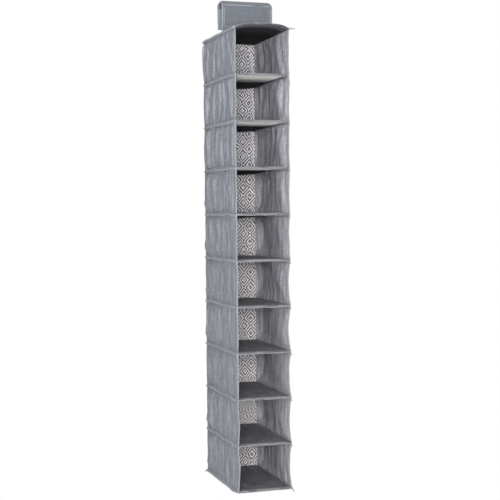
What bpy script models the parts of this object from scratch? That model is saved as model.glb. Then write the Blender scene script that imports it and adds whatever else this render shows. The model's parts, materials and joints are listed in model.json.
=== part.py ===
"""Hanging shoe organizer: a column of ten open-fronted fabric compartments under a closable strap.

Metres, +Z up. A closet rod runs along X through the strap's loop, and its axis is the origin.
The compartments open towards -Y. Each level is a fabric cover sewn round a stiffening board, and
each compartment hangs from the level above on its own two side walls and back panel, so that the
column folds flat one compartment at a time.
"""

import math

import bmesh
import bpy
from mathutils import Vector

# Column
CELLS = 10  # compartments
WIDTH = 0.155  # over the side walls
DEPTH = 0.305  # from the front edge to the outer face of the back
PITCH = 0.127  # from one level to the next
FABRIC = 0.0012  # sewn fabric with its lining
GAP = 0.0003  # between pieces that touch

# Levels: board in a fabric cover
BOARD = 0.002  # greyboard
LEVEL = BOARD + 2 * FABRIC + 2 * GAP
SEAM = 0.004  # how far the pinched seam stands out past the walls
SEAM_CHAMFER = 0.0012
HEM = 0.007  # folded front hem that holds the board's front edge
POCKET = 0.130  # depth of the pocket that holds the rear of the board
POCKET_MARGIN = 0.0015  # stitching between the pocket and the front and rear edges
BOARD_MARGIN = 0.0085  # seam allowance between the board and each side edge

# Side walls
BINDING = 0.007  # folded tape along the front edge
BINDING_LIFT = 0.0006  # how far the tape stands off each face of the wall

# Strap
ROD_RADIUS = 0.016
STRAP_WIDTH = 0.147
STRAP = 0.0015  # thickness of the doubled strap fabric
STRAP_TOP = 0.092  # crown of the loop above the top panel
LEG_SPREAD = 0.045  # between the mid-lines of the front leg and the closing flap
CROWN_RISE = 0.018
CROWN_STEPS = 16
CROWN_SQUARENESS = 3.0  # 2 is an ellipse, and the pressed loop is squarer
FOOT = 0.0095  # sewn-down end of each leg
FLAP_CLEARANCE = 0.014  # from the top panel up to the flap's free end
TAB_WIDTH = 0.116
TAB_HEIGHT = 0.05
TAPE_WIDTH = 0.110
TAPE_HEIGHT = 0.025
TAPE_BASE = 0.019  # lower edge of both tapes above the top panel
TAPE = 0.0015
PATCH_DEPTH = 0.070

# Heights that follow from the rod
PANEL_TOP = -(STRAP_TOP - STRAP - ROD_RADIUS)
TOP_LEVEL = PANEL_TOP - LEVEL / 2
PATCH_TOP = PANEL_TOP + GAP + STRAP
CROWN_BASE = PANEL_TOP + STRAP_TOP - STRAP / 2 - CROWN_RISE
FRONT = -DEPTH / 2
BACK = DEPTH / 2

FABRIC_GREY = (0.27, 0.28, 0.32)
SHELF_GREY = (0.10, 0.10, 0.11)
WEAVE_GREY = (0.28, 0.27, 0.28)
BOARD_GREY = (0.40, 0.39, 0.38)
STRAP_GREY = (0.19, 0.21, 0.24)
HOOK_GREY = (0.06, 0.06, 0.07)
LOOP_GREY = (0.10, 0.10, 0.11)


def clear_scene():
    for item in list(bpy.data.objects):
        bpy.data.objects.remove(item, do_unlink=True)


def level_height(level):
    """Mid-height of a level: 0 is the top panel and CELLS is the bottom panel."""
    return TOP_LEVEL - level * PITCH


def make_material(name, color, roughness):
    material = bpy.data.materials.new(name)
    material.use_nodes = True
    shader = material.node_tree.nodes["Principled BSDF"]
    shader.inputs["Base Color"].default_value = (*color, 1)
    shader.inputs["Roughness"].default_value = roughness
    shader.inputs["Metallic"].default_value = 0
    return material


def add_holder(name, at, parent=None):
    """An empty on a joint's axis. The pieces that move with the joint hang from it."""
    holder = bpy.data.objects.new(name, None)
    holder.empty_display_size = 0.02
    bpy.context.scene.collection.objects.link(holder)
    holder.parent = parent
    holder.location = Vector(at) - (world_of(parent) if parent else Vector())
    return holder


def world_of(holder):
    place = Vector(holder.location)
    while holder.parent:
        holder = holder.parent
        place += holder.location
    return place


def add_part(name, mesh, at, holder, color, roughness=0.9):
    """One piece, placed in world coordinates and carried by its holder."""
    part = bpy.data.objects.new(name, mesh)
    bpy.context.scene.collection.objects.link(part)
    part.parent = holder
    part.location = Vector(at) - world_of(holder)
    part.data.materials.clear()
    part.data.materials.append(None)
    part.material_slots[0].link = "OBJECT"
    part.material_slots[0].material = make_material(name, color, roughness)
    return part


def box_mesh(name, size, chamfer=0.0):
    """A box centred on its origin, with its edges along X and Y chamfered if asked."""
    shape = bmesh.new()
    bmesh.ops.create_cube(shape, size=1)
    bmesh.ops.scale(shape, vec=size, verts=shape.verts)
    if chamfer:
        flat_edges = [e for e in shape.edges if abs((e.verts[0].co - e.verts[1].co).z) < 1e-9]
        bmesh.ops.bevel(shape, geom=flat_edges, offset=chamfer, segments=1, affect="EDGES")
    bmesh.ops.recalc_face_normals(shape, faces=shape.faces)
    mesh = bpy.data.meshes.new(name)
    shape.to_mesh(mesh)
    shape.free()
    return mesh


def carved_mesh(name, blank, cuts):
    """The blank mesh with boxes cut out of it, each given by its low and high corner."""
    body = bpy.data.objects.new(name, blank)
    bpy.context.scene.collection.objects.link(body)
    cutters = []
    for number, (low, high) in enumerate(cuts):
        low, high = Vector(low), Vector(high)
        cutter = bpy.data.objects.new(f"{name}_cut_{number}", box_mesh("cut", high - low))
        bpy.context.scene.collection.objects.link(cutter)
        cutter.location = (low + high) / 2
        cutter.hide_render = True
        cutter.display_type = "WIRE"
        cutters.append(cutter)
        boolean = body.modifiers.new(f"cut_{number}", "BOOLEAN")
        boolean.operation = "DIFFERENCE"
        boolean.object = cutter
    bpy.context.view_layer.update()
    graph = bpy.context.evaluated_depsgraph_get()
    carved = bpy.data.meshes.new_from_object(body.evaluated_get(graph))
    carved.name = name
    for item in [body, *cutters]:
        bpy.data.objects.remove(item, do_unlink=True)
    return carved


def cover_mesh(name, cuts):
    """A level's fabric cover with its pinched seams. Y runs on behind the back by the seam."""
    blank = box_mesh(name, (WIDTH + 2 * SEAM, DEPTH + SEAM, LEVEL), SEAM_CHAMFER)
    for vertex in blank.vertices:
        vertex.co.y += SEAM / 2
    return carved_mesh(name, blank, cuts)


def shelf_cover_mesh():
    """The board lies in a rear pocket and behind the front hem, and shows underneath between them."""
    half = WIDTH / 2 - BOARD_MARGIN
    rear = BACK - POCKET_MARGIN
    cavity = (-half, FRONT + POCKET_MARGIN, -BOARD / 2 - GAP), (half, rear, BOARD / 2 + GAP)
    window = (-half, FRONT + HEM, -LEVEL), (half, BACK - POCKET, 0)
    return cover_mesh("shelf_cover", [cavity, window])


def end_cover_mesh():
    """The top and bottom panels' cover is whole, with the pocket's mouth in its rear edge."""
    half = WIDTH / 2 - BOARD_MARGIN
    mouth = BACK + 2 * SEAM
    cavity = (-half, FRONT + POCKET_MARGIN, -BOARD / 2 - GAP), (half, mouth, BOARD / 2 + GAP)
    return cover_mesh("end_cover", [cavity])


def board_mesh():
    side, end = BOARD_MARGIN + GAP, POCKET_MARGIN + GAP
    return box_mesh("board", (WIDTH - 2 * side, DEPTH - 2 * end, BOARD))


def drop_height():
    """Height of the walls and the back between two levels."""
    return PITCH - LEVEL - 2 * GAP


def wall_mesh(name, side):
    """A side wall seen from above, with the folded binding at its front edge, drawn upwards."""
    outer, inner = 0.0, -side * FABRIC
    outer_tape, inner_tape = side * BINDING_LIFT, inner - side * BINDING_LIFT
    rear = BACK - FABRIC - GAP
    outline = [
        (outer_tape, FRONT),
        (outer_tape, FRONT + BINDING),
        (outer, FRONT + BINDING),
        (outer, rear),
        (inner, rear),
        (inner, FRONT + BINDING),
        (inner_tape, FRONT + BINDING),
        (inner_tape, FRONT),
    ]
    shape = bmesh.new()
    corners = [shape.verts.new((x, y, -drop_height() / 2)) for x, y in outline]
    face = shape.faces.new(corners)
    risen = bmesh.ops.extrude_face_region(shape, geom=[face])
    tops = [v for v in risen["geom"] if isinstance(v, bmesh.types.BMVert)]
    bmesh.ops.translate(shape, vec=(0, 0, drop_height()), verts=tops)
    bmesh.ops.recalc_face_normals(shape, faces=shape.faces)
    mesh = bpy.data.meshes.new(name)
    shape.to_mesh(mesh)
    shape.free()
    return mesh


def strip_mesh(name, route, width):
    """A sheet along X that follows a route of (y, z) points."""
    shape = bmesh.new()
    pairs = [
        [shape.verts.new((x, y, z)) for x in (-width / 2, width / 2)]
        for y, z in route
    ]
    for (a, b), (c, d) in zip(pairs, pairs[1:]):
        shape.faces.new((a, b, d, c))
    mesh = bpy.data.meshes.new(name)
    shape.to_mesh(mesh)
    shape.free()
    return mesh


def thicken(part, thickness):
    solid = part.modifiers.new("thickness", "SOLIDIFY")
    solid.thickness = thickness
    solid.offset = 0
    solid.use_even_offset = True


def build_level(level, holder, cover, board, name):
    at = (0, 0, level_height(level))
    add_part(f"{name}_cover", cover, at, holder, SHELF_GREY)
    add_part(f"{name}_board", board, at, holder, BOARD_GREY)


def build_cell(cell, holder, left, right, back):
    """The walls and the back of one compartment, sewn to the level above it."""
    middle = level_height(cell - 0.5)
    add_part(f"left_wall_{cell}", left, (-WIDTH / 2, 0, middle), holder, FABRIC_GREY)
    add_part(f"right_wall_{cell}", right, (WIDTH / 2, 0, middle), holder, FABRIC_GREY)
    add_part(f"back_panel_{cell}", back, (0, BACK - FABRIC / 2, middle), holder, WEAVE_GREY)


def build_column(top):
    shelf_cover, end_cover, board = shelf_cover_mesh(), end_cover_mesh(), board_mesh()
    left, right = wall_mesh("left_wall", -1), wall_mesh("right_wall", 1)
    back = box_mesh("back_panel", (WIDTH, FABRIC, drop_height()))
    build_level(0, top, end_cover, board, "top_panel")
    holder = top
    for cell in range(1, CELLS + 1):
        build_cell(cell, holder, left, right, back)
        holder = add_holder(f"fold_{cell}", (0, 0, level_height(cell)), holder)
        if cell < CELLS:
            build_level(cell, holder, shelf_cover, board, f"shelf_{cell}")
        else:
            build_level(cell, holder, end_cover, board, "bottom_panel")


def squared(value):
    """A turn's sine or cosine, moved out onto the squarer loop."""
    return math.copysign(abs(value) ** (2 / CROWN_SQUARENESS), value)


def band_route():
    """Foot, front leg and crown of the strap, from the front to the flap's fold."""
    leg, sole = -LEG_SPREAD / 2, PATCH_TOP + GAP + STRAP / 2
    route = [(leg - FOOT, sole), (leg, sole)]
    for step in range(CROWN_STEPS + 1):
        turn = math.pi * step / CROWN_STEPS
        across, rise = squared(math.cos(turn)), squared(math.sin(turn))
        route.append((leg * across, CROWN_BASE + CROWN_RISE * rise))
    return route


def build_strap(top):
    patch = box_mesh("strap_patch", (STRAP_WIDTH, PATCH_DEPTH, STRAP))
    add_part("strap_patch", patch, (0, 0, PANEL_TOP + GAP + STRAP / 2), top, STRAP_GREY)
    band = add_part(
        "strap_band", strip_mesh("strap_band", band_route(), STRAP_WIDTH), (0, 0, 0), top, STRAP_GREY
    )
    thicken(band, STRAP)

    # Across the closure, from the outside in: flap, loop tape, hook tape, tab
    flap_y = LEG_SPREAD / 2
    loop_y = flap_y - STRAP / 2 - GAP - TAPE / 2
    hook_y = loop_y - TAPE - GAP
    tab_y = hook_y - TAPE / 2 - GAP - STRAP / 2
    tape_z = PANEL_TOP + TAPE_BASE + TAPE_HEIGHT / 2
    tape = box_mesh("tape", (TAPE_WIDTH, TAPE, TAPE_HEIGHT))
    sole = PATCH_TOP + GAP + STRAP / 2
    tab_route = [(tab_y + FOOT, sole), (tab_y, sole), (tab_y, PANEL_TOP + TAB_HEIGHT)]
    tab = add_part(
        "strap_tab", strip_mesh("strap_tab", tab_route, TAB_WIDTH), (0, 0, 0), top, STRAP_GREY
    )
    thicken(tab, STRAP)
    add_part("hook_tape", tape, (0, hook_y, tape_z), top, HOOK_GREY)

    # The flap turns about the outer edge of its fold
    flap_top, flap_low = CROWN_BASE - GAP, PANEL_TOP + FLAP_CLEARANCE
    fold = add_holder("strap_opening", (0, flap_y + STRAP / 2, CROWN_BASE - GAP / 2), top)
    flap = box_mesh("strap_flap", (STRAP_WIDTH, STRAP, flap_top - flap_low))
    add_part("strap_flap", flap, (0, flap_y, (flap_top + flap_low) / 2), fold, STRAP_GREY)
    add_part("loop_tape", tape, (0, loop_y, tape_z), fold, LOOP_GREY)


def main():
    clear_scene()
    top = add_holder("rod_axis", (0, 0, 0))
    build_column(top)
    build_strap(top)
    bpy.context.view_layer.update()


main()
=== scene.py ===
"""Looks of the hanging shoe organizer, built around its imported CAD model.

Metres, +Z up, in the CAD's own frame: the closet rod's axis is the origin and the compartments open
towards -Y. Every soft piece takes its place from the CAD node that it replaces.
"""

import json
import math

import bmesh
import bpy
import numpy as np
from mathutils import Matrix, Vector


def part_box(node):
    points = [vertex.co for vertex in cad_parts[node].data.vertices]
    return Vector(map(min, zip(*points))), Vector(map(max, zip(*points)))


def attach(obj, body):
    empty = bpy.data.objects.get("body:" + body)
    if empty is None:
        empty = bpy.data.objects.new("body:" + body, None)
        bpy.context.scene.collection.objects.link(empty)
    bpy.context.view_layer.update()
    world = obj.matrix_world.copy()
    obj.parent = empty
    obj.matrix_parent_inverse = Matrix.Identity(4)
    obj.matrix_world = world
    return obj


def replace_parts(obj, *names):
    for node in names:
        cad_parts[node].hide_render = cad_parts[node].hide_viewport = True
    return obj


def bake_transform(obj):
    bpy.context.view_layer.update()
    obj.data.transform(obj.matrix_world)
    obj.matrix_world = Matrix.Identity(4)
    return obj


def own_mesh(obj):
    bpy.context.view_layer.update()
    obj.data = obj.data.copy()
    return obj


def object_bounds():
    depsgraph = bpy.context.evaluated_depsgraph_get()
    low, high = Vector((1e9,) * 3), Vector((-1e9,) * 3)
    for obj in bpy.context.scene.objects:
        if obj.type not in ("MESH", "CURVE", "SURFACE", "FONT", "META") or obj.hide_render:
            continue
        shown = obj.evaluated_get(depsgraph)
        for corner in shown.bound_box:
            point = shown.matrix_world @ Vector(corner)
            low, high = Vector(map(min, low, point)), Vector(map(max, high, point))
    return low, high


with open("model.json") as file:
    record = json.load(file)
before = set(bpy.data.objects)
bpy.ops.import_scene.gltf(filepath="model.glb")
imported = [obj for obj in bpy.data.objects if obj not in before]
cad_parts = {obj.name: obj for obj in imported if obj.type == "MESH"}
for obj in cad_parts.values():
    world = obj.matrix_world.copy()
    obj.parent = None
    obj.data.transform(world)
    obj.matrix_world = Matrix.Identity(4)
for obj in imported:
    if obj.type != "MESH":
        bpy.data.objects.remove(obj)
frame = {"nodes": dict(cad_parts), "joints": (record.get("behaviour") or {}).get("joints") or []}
cad_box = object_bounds()

# ---------------------------------------------------------------- places, all taken from the frame

CELLS = sum(joint["name"].startswith("fold_") for joint in frame["joints"])
LEVELS = ["top_panel", *(f"shelf_{k}" for k in range(1, CELLS)), "bottom_panel"]
BODIES = ["hanger", *LEVELS[1:]]
COVERS = [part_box(f"{level}_cover") for level in LEVELS]
BOARDS = [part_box(f"{level}_board") for level in LEVELS]
BACKS = [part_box(f"back_panel_{cell}") for cell in range(1, CELLS + 1)]
SPANS = [(high.z, low.z) for low, high in BACKS]
HALF_WIDTH = BACKS[0][1].x
FRONT = COVERS[0][0].y
BACK = BACKS[0][1].y
SEAM_BACK = COVERS[0][1].y
MIDS = [(low.z + high.z) / 2 for low, high in COVERS]
LEVEL = COVERS[0][1].z - COVERS[0][0].z
PANEL_TOP = COVERS[0][1].z
SIDES = {-1: "left", 1: "right"}

# Fabric
CLOTH = 0.0011  # thickness of the sewn fabric
HEM = 0.007  # front hem and binding
POCKET = 0.130  # rear pocket under each shelf
POCKET_SAG = 0.0095  # how far the loose pocket hangs below the shelf
TOP_HEM = 0.045  # front part of the top panel's underside, painted less dark than its near-black rear
DOME = 0.0105  # rise of the top panel's middle, which carries all the weight
DOME_LEFT, DOME_RIGHT = 2.0, 4.5  # how flat the rise stays before it drops to each side
REAR_FLAT = 0.85  # how much of the rise is gone at the rear
LIP = 0.0010  # half the thickness of a level's front lip, ahead of its board
BOW = 0.0010  # how far the walls' front edges draw in between two levels
LOW_BOW = 0.0048  # and how much more on the right side's lower half
BULGE = 0.0042  # how far the top compartment's rear corners swell out
CREASE = 0.0118  # how far the walls' long crease stands out
WALL_GRID, BACK_GRID = (76, 32), (44, 30)  # points that settle, across and down
WALL_STEPS, BACK_STEPS, QUICK_STEPS = 110, 80, 20
INNER_SEAM_CELLS = 3  # upper compartments whose corner seams show inside
TAIL_THICKNESS = 0.0042  # of the loose seam ends
STITCH = 0.0036  # length of one stitch
STITCH_PITCH = 0.0052
FLOOR_DROP = 0.42  # from the organizer down to the floor
FLOOR_RADIUS = 1.15
ROOM_LIGHT = 0.28
LIP_POINTS = 9  # round a level's front lip
HEM_POINTS = 6  # back from the lip under a hem tape, and again over it
HEM_COLUMNS = 56


def wave_noise(seed, across, along, coarse, count=7):
    """Smooth noise of about -1 to 1 over two coordinate arrays, with waves about coarse metres long."""
    rng = np.random.default_rng(seed)
    total = np.zeros(np.broadcast(across, along).shape)
    for _ in range(count):
        turn = rng.uniform(0, math.tau)
        length = coarse * rng.uniform(0.6, 1.7)
        phase = rng.uniform(0, math.tau)
        total += np.sin((across * math.cos(turn) + along * math.sin(turn)) * math.tau / length + phase)
    return total / math.sqrt(count)


def ramp(value, low, high):
    """0 below low and 1 above high, with a smooth rise between."""
    share = np.clip((np.asarray(value, float) - low) / (high - low), 0, 1)
    return share * share * (3 - 2 * share)


def lattice(rows, columns):
    """Two arrays over a grid: each point's value along the rows and along the columns."""
    return np.meshgrid(rows, columns, indexing="ij")


def points_at(*axes):
    """Points whose coordinates are arrays or single values."""
    return np.stack(np.broadcast_arrays(*axes), -1)


# ---------------------------------------------------------------- materials


class Shader:
    """A Principled material whose nodes are added by short calls, in the object's own metres."""

    def __init__(self, name, roughness, sheen=0.0):
        self.material = bpy.data.materials.new(name)
        self.material.use_nodes = True
        self.tree = self.material.node_tree
        self.surface = self.tree.nodes["Principled BSDF"].inputs
        self.surface["Metallic"].default_value = 0
        self.surface["Roughness"].default_value = roughness
        self.surface["Specular IOR Level"].default_value = 0.25
        self.surface["Sheen Weight"].default_value = sheen
        self.surface["Sheen Roughness"].default_value = 0.5
        self.place = self.tree.nodes.new("ShaderNodeTexCoord").outputs["Object"]

    def put(self, socket, value):
        if isinstance(value, bpy.types.NodeSocket):
            self.tree.links.new(value, socket)
        elif isinstance(value, tuple) and socket.type == "RGBA":
            socket.default_value = (*value, 1)
        else:
            socket.default_value = value

    def node(self, kind, output, inputs, **settings):
        """A new node's output socket, once its settings and inputs are made."""
        node = self.tree.nodes.new(f"ShaderNode{kind}")
        for name, value in settings.items():
            setattr(node, name, value)
        for name, value in inputs.items():
            self.put(node.inputs[name], value)
        return node.outputs[output]

    def noise(self, size, scale=(1, 1, 1), detail=3.0, rough=0.55, distortion=0.0):
        """Noise whose blots are about size metres across, divided by scale along each axis."""
        place = self.node("Mapping", "Vector", {"Vector": self.place, "Scale": scale})
        inputs = {"Scale": 1 / size, "Detail": detail, "Roughness": rough, "Distortion": distortion}
        return self.node("TexNoise", "Fac", {"Vector": place, **inputs})

    def yarns(self, pitch, axis, wobble=0.6):
        """Parallel yarns, pitch metres apart, counted along axis."""
        inputs = {"Scale": math.pi / 10 / pitch, "Distortion": wobble, "Detail": 1, "Detail Scale": 3}
        inputs["Vector"] = self.place
        return self.node("TexWave", "Fac", inputs, wave_type="BANDS", bands_direction=axis)

    def canvas(self, pitch, first, second, wobble=0.6):
        """Yarns that cross, pitch metres apart both ways."""
        return self.math("MULTIPLY", self.yarns(pitch, first, wobble), self.yarns(pitch, second, wobble))

    def voronoi(self, size):
        return self.node("TexVoronoi", "Distance", {"Vector": self.place, "Scale": 1 / size})

    def math(self, operation, *values):
        return self.node("Math", "Value", dict(enumerate(values)), operation=operation)

    def mixed(self, *parts):
        """The sum of (value, share) parts."""
        total = self.math("MULTIPLY", *parts[0])
        for part in parts[1:]:
            total = self.math("ADD", total, self.math("MULTIPLY", *part))
        return total

    def axis(self, name):
        return self.node("SeparateXYZ", name, {0: self.place})

    def between(self, value, low, high, dark, light):
        """Dark where value is low, light where it is high."""
        node = self.tree.nodes.new("ShaderNodeValToRGB")
        self.put(node.inputs["Fac"], value)
        first, last = node.color_ramp.elements
        first.position, last.position = low, high
        first.color, last.color = (*dark, 1), (*light, 1)
        return node.outputs["Color"]

    def washed(self, tone, value, low, high, dark, light=(1, 1, 1)):
        """The tone, multiplied by dark where value is low and by light where it is high."""
        wash = self.between(value, low, high, dark, light)
        return self.node("Mix", 2, {0: 1.0, 6: tone, 7: wash}, data_type="RGBA", blend_type="MULTIPLY")

    def bump(self, height, depth, strength=1.0, under=None):
        inputs = {"Height": height, "Distance": depth, "Strength": strength}
        if under is not None:
            inputs["Normal"] = under
        return self.node("Bump", "Normal", inputs)

    def finish(self, color, normal=None, roughness=None):
        for name, value in (("Base Color", color), ("Normal", normal), ("Roughness", roughness)):
            if value is not None:
                self.put(self.surface[name], value)
        return self.material


def scaled(color, factor):
    return tuple(channel * factor for channel in color)


def heathered(name, color, warp, weft, yarn_axes, contrast=0.16, streaks=0.0, sheen=0.04):
    """Non-woven fabric printed as a heathered weave: slubs both ways, blotches, a fine grain, and long
    streaks along the first direction."""
    shader = Shader(name, 0.9, sheen)
    slubs = shader.noise(0.0050, warp, detail=5, rough=0.65)
    cross = shader.noise(0.0040, weft, detail=4)
    grain = shader.noise(0.0024, detail=3, rough=0.65)
    mixed = shader.mixed((slubs, 0.42), (cross, 0.22), (grain, 0.36))
    tone = shader.between(mixed, 0.33, 0.67, scaled(color, 1 - contrast), scaled(color, 1 + contrast))
    tone = shader.washed(tone, shader.noise(0.034, detail=2), 0.35, 0.65, (0.93, 0.93, 0.94))
    if streaks:
        bands = shader.noise(0.011, warp, detail=3, rough=0.6)
        tone = shader.washed(tone, bands, 0.36, 0.62, (1 - streaks, 1 - streaks, 1 - streaks * 0.9))
    normal = shader.bump(shader.canvas(0.0013, *yarn_axes), 0.00018, 0.55)
    rough = shader.math("MULTIPLY_ADD", mixed, 0.2, 0.78)
    return shader.finish(tone, shader.bump(slubs, 0.0007, 0.5, normal), rough)


def patterned(name):
    """The back's fabric: nested diamonds of pale strokes on dark grey, slightly uneven in print."""
    shader = Shader(name, 0.88, 0.2)
    wander = shader.math("MULTIPLY_ADD", shader.noise(0.011, detail=2), 0.007, -0.0035)
    side = shader.math("PINGPONG", shader.math("ADD", shader.axis("X"), wander), DIAMOND_WIDTH / 2)
    rise = shader.math("PINGPONG", shader.math("ADD", shader.axis("Z"), wander), DIAMOND_HEIGHT / 2)
    rise = shader.math("MULTIPLY", rise, DIAMOND_WIDTH / DIAMOND_HEIGHT)
    rings = shader.math("PINGPONG", shader.math("ADD", side, rise), STROKE)
    fray = shader.math("MULTIPLY_ADD", shader.noise(0.0034, detail=2), 0.7, -0.35)
    stroke = shader.math("ADD", shader.math("DIVIDE", rings, STROKE), fray)
    tone = shader.between(stroke, 0.36, 0.62, PRINT_DARK, PRINT_LIGHT)
    return shader.finish(tone, shader.bump(shader.canvas(0.0014, "X", "Z"), 0.0001, 0.3))


def greyboard(name):
    """Pressed recycled board with pale and dark fibres and a faint warp."""
    shader = Shader(name, 0.85)
    fibres = shader.noise(0.0016, (1, 0.22, 1), detail=5, rough=0.7, distortion=0.6)
    tone = shader.between(fibres, 0.3, 0.72, scaled(BOARD_COLOR, 0.82), scaled(BOARD_COLOR, 1.08))
    tone = shader.washed(tone, shader.noise(0.05, detail=2), 0.35, 0.65, (0.9, 0.9, 0.88))
    specks = shader.noise(0.0009, detail=1)
    tone = shader.washed(tone, specks, 0.68, 0.74, (1, 1, 1), (0.72, 0.7, 0.66))
    return shader.finish(tone, shader.bump(fibres, 0.0002, 0.6))


def ribbed_tape(name, color, axis):
    """Folded binding tape with fine ribs."""
    shader = Shader(name, 0.82, 0.3)
    ribs = shader.yarns(0.0011, axis, 0.3)
    fuzz = shader.noise(0.002, detail=3)
    tone = shader.between(fuzz, 0.3, 0.7, scaled(color, 0.86), scaled(color, 1.12))
    tone = shader.washed(tone, ribs, 0.0, 0.6, (0.84, 0.84, 0.85))
    return shader.finish(tone, shader.bump(ribs, 0.00025, 0.7))


def closely_woven(name, color):
    """Strap fabric: a close canvas weave with a few pale slubs."""
    shader = Shader(name, 0.86, 0.2)
    warp = shader.noise(0.0024, (1, 1, 0.10), detail=3)
    weft = shader.noise(0.0024, (0.10, 0.10, 1), detail=3)
    mixed = shader.mixed((warp, 0.5), (weft, 0.5))
    tone = shader.between(mixed, 0.36, 0.66, scaled(color, 0.88), scaled(color, 1.14))
    weave = shader.canvas(0.0012, "X", "Z", 0.3)
    tone = shader.washed(tone, weave, 0.0, 0.5, (0.86, 0.86, 0.87))
    return shader.finish(tone, shader.bump(mixed, 0.0005, 0.5, shader.bump(weave, 0.00025, 0.7)))


def thread(name, color):
    """Sewing thread with its twist."""
    shader = Shader(name, 0.6, 0.2)
    twist = shader.yarns(0.0006, "DIAGONAL", 0.2)
    tone = shader.between(twist, 0.1, 0.7, scaled(color, 0.8), color)
    return shader.finish(tone, shader.bump(twist, 0.0001, 0.6))


def hooks_and_loops(name, color, size):
    """The closing tapes: size is how far apart their hooks or loops stand."""
    shader = Shader(name, 0.7, 0.4)
    fuzz = shader.noise(size * 2, detail=4)
    tone = shader.between(fuzz, 0.3, 0.7, scaled(color, 0.7), scaled(color, 1.4))
    normal = shader.bump(shader.voronoi(size), size * 0.6, 0.8)
    return shader.finish(tone, shader.bump(fuzz, size * 0.5, 0.6, normal))


WALL_COLOR = (0.252, 0.262, 0.290)
# The walls' inner faces carry painted light: much paler than the outer face, to brighten the shaded
# compartment walls.
INSIDE_PAINTED_LIGHT_COLOR = (0.440, 0.430, 0.468)
SHELF_COLOR = (0.150, 0.147, 0.159)
# Near-black: the pockets' dark fabric, darkened further as painted shade under the shelves and the top
# panel.
POCKET_DARK_AND_SHADE_COLOR = (0.013, 0.011, 0.014)
# Painted shade under the top panel: its front part and the lower side of its hem tape are darkened with
# this colour.
TOP_UNDERSIDE_SHADE_COLOR = (0.075, 0.073, 0.080)
BOARD_COLOR = (0.78, 0.78, 0.75)
BINDING_COLOR = (0.228, 0.238, 0.262)
HEM_COLOR = (0.185, 0.189, 0.204)
SEAM_COLOR = (0.270, 0.283, 0.313)
STRAP_COLOR = (0.152, 0.163, 0.184)
THREAD_COLOR = (0.70, 0.72, 0.75)
TAPE_COLOR = (0.05, 0.05, 0.055)
PRINT_DARK = (0.082, 0.076, 0.082)
PRINT_LIGHT = (0.72, 0.69, 0.71)
DIAMOND_WIDTH = 0.040
DIAMOND_HEIGHT = 0.046
STROKE = 0.0045

# How noise is drawn out into streaks: along a wall's height or depth, or a level's depth or width
UPRIGHT, LEVELWISE = (1, 1, 0.09), (0.10, 0.10, 1)
INWARDS, CROSSWISE = (1, 0.09, 1), (0.10, 1, 1)
FINISH = {
    "wall": heathered("wall_fabric", WALL_COLOR, UPRIGHT, LEVELWISE, ("Y", "Z"), 0.58, 0.22),
    # The inner faces' finish: the wall fabric made paler as painted light.
    "inside": heathered("wall_reverse_painted_light", INSIDE_PAINTED_LIGHT_COLOR, UPRIGHT, LEVELWISE, ("Y", "Z"), 0.62, 0.36),
    "shelf": heathered("shelf_fabric", SHELF_COLOR, INWARDS, CROSSWISE, ("X", "Y"), 0.95, 0.3, 0.05),
    "lining": heathered("top_underside_painted_shade", TOP_UNDERSIDE_SHADE_COLOR, INWARDS, CROSSWISE, ("X", "Y"), 0.3, 0.1, 0),
    "pocket": heathered("pocket_fabric_and_shade", POCKET_DARK_AND_SHADE_COLOR, INWARDS, CROSSWISE, ("X", "Y"), 0.3, 0, 0),
    "back": patterned("patterned_fabric"),
    "board": greyboard("greyboard"),
    "binding": ribbed_tape("binding_tape", BINDING_COLOR, "Z"),
    "allowance": ribbed_tape("seam_allowance", scaled(BINDING_COLOR, 2.6), "Z"),
    "hem": ribbed_tape("hem_tape", HEM_COLOR, "X"),
    "seam": heathered("seam_fold", SEAM_COLOR, (1, 0.12, 1), (0.15, 1, 1), ("Y", "Z"), 0.16),
    "strap": closely_woven("strap_fabric", STRAP_COLOR),
    # A paler copy of the strap fabric: painted highlight on the band's rolled edges and painted light on
    # the flap's shaded inner face.
    "edging": closely_woven("strap_fabric_painted_light", scaled(STRAP_COLOR, 1.7)),
    "dull_thread": thread("dull_thread", scaled(THREAD_COLOR, 0.55)),
    "thread": thread("sewing_thread", THREAD_COLOR),
    "hook": hooks_and_loops("hook_tape", TAPE_COLOR, 0.0012),
    "loop": hooks_and_loops("loop_tape", scaled(TAPE_COLOR, 1.5), 0.0008),
}


# ---------------------------------------------------------------- mesh building


def add_piece(name, points, faces, finish, body, slot, reverse=None):
    """A closed, smooth-shaded piece that rides on a body. reverse is (finish, faces) for the part of a
    sheet's faces with another finish."""
    mesh = bpy.data.meshes.new(name)
    mesh.from_pydata(np.asarray(points, float).reshape(-1, 3).tolist(), [], faces)
    shape = bmesh.new()
    shape.from_mesh(mesh)
    bmesh.ops.recalc_face_normals(shape, faces=shape.faces)
    shape.to_mesh(mesh)
    shape.free()
    mesh.shade_smooth()
    mesh.set_sharp_from_angle(angle=math.radians(50))
    mesh.materials.append(FINISH[finish])
    if reverse:
        mesh.materials.append(FINISH[reverse[0]])
        numbers = np.zeros(len(mesh.polygons), np.int32)
        numbers[reverse[1]] = 1
        mesh.polygons.foreach_set("material_index", numbers)
    piece = bpy.data.objects.new(name, mesh)
    bpy.context.scene.collection.objects.link(piece)
    if body:
        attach(piece, body)
    return piece


def grid_faces(rows, columns):
    """Quads of a grid of points numbered row by row."""
    number = np.arange(rows * columns).reshape(rows, columns)
    corners = [number[:-1, :-1], number[1:, :-1], number[1:, 1:], number[:-1, 1:]]
    return np.stack(corners, -1).reshape(-1, 4).tolist()


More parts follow.
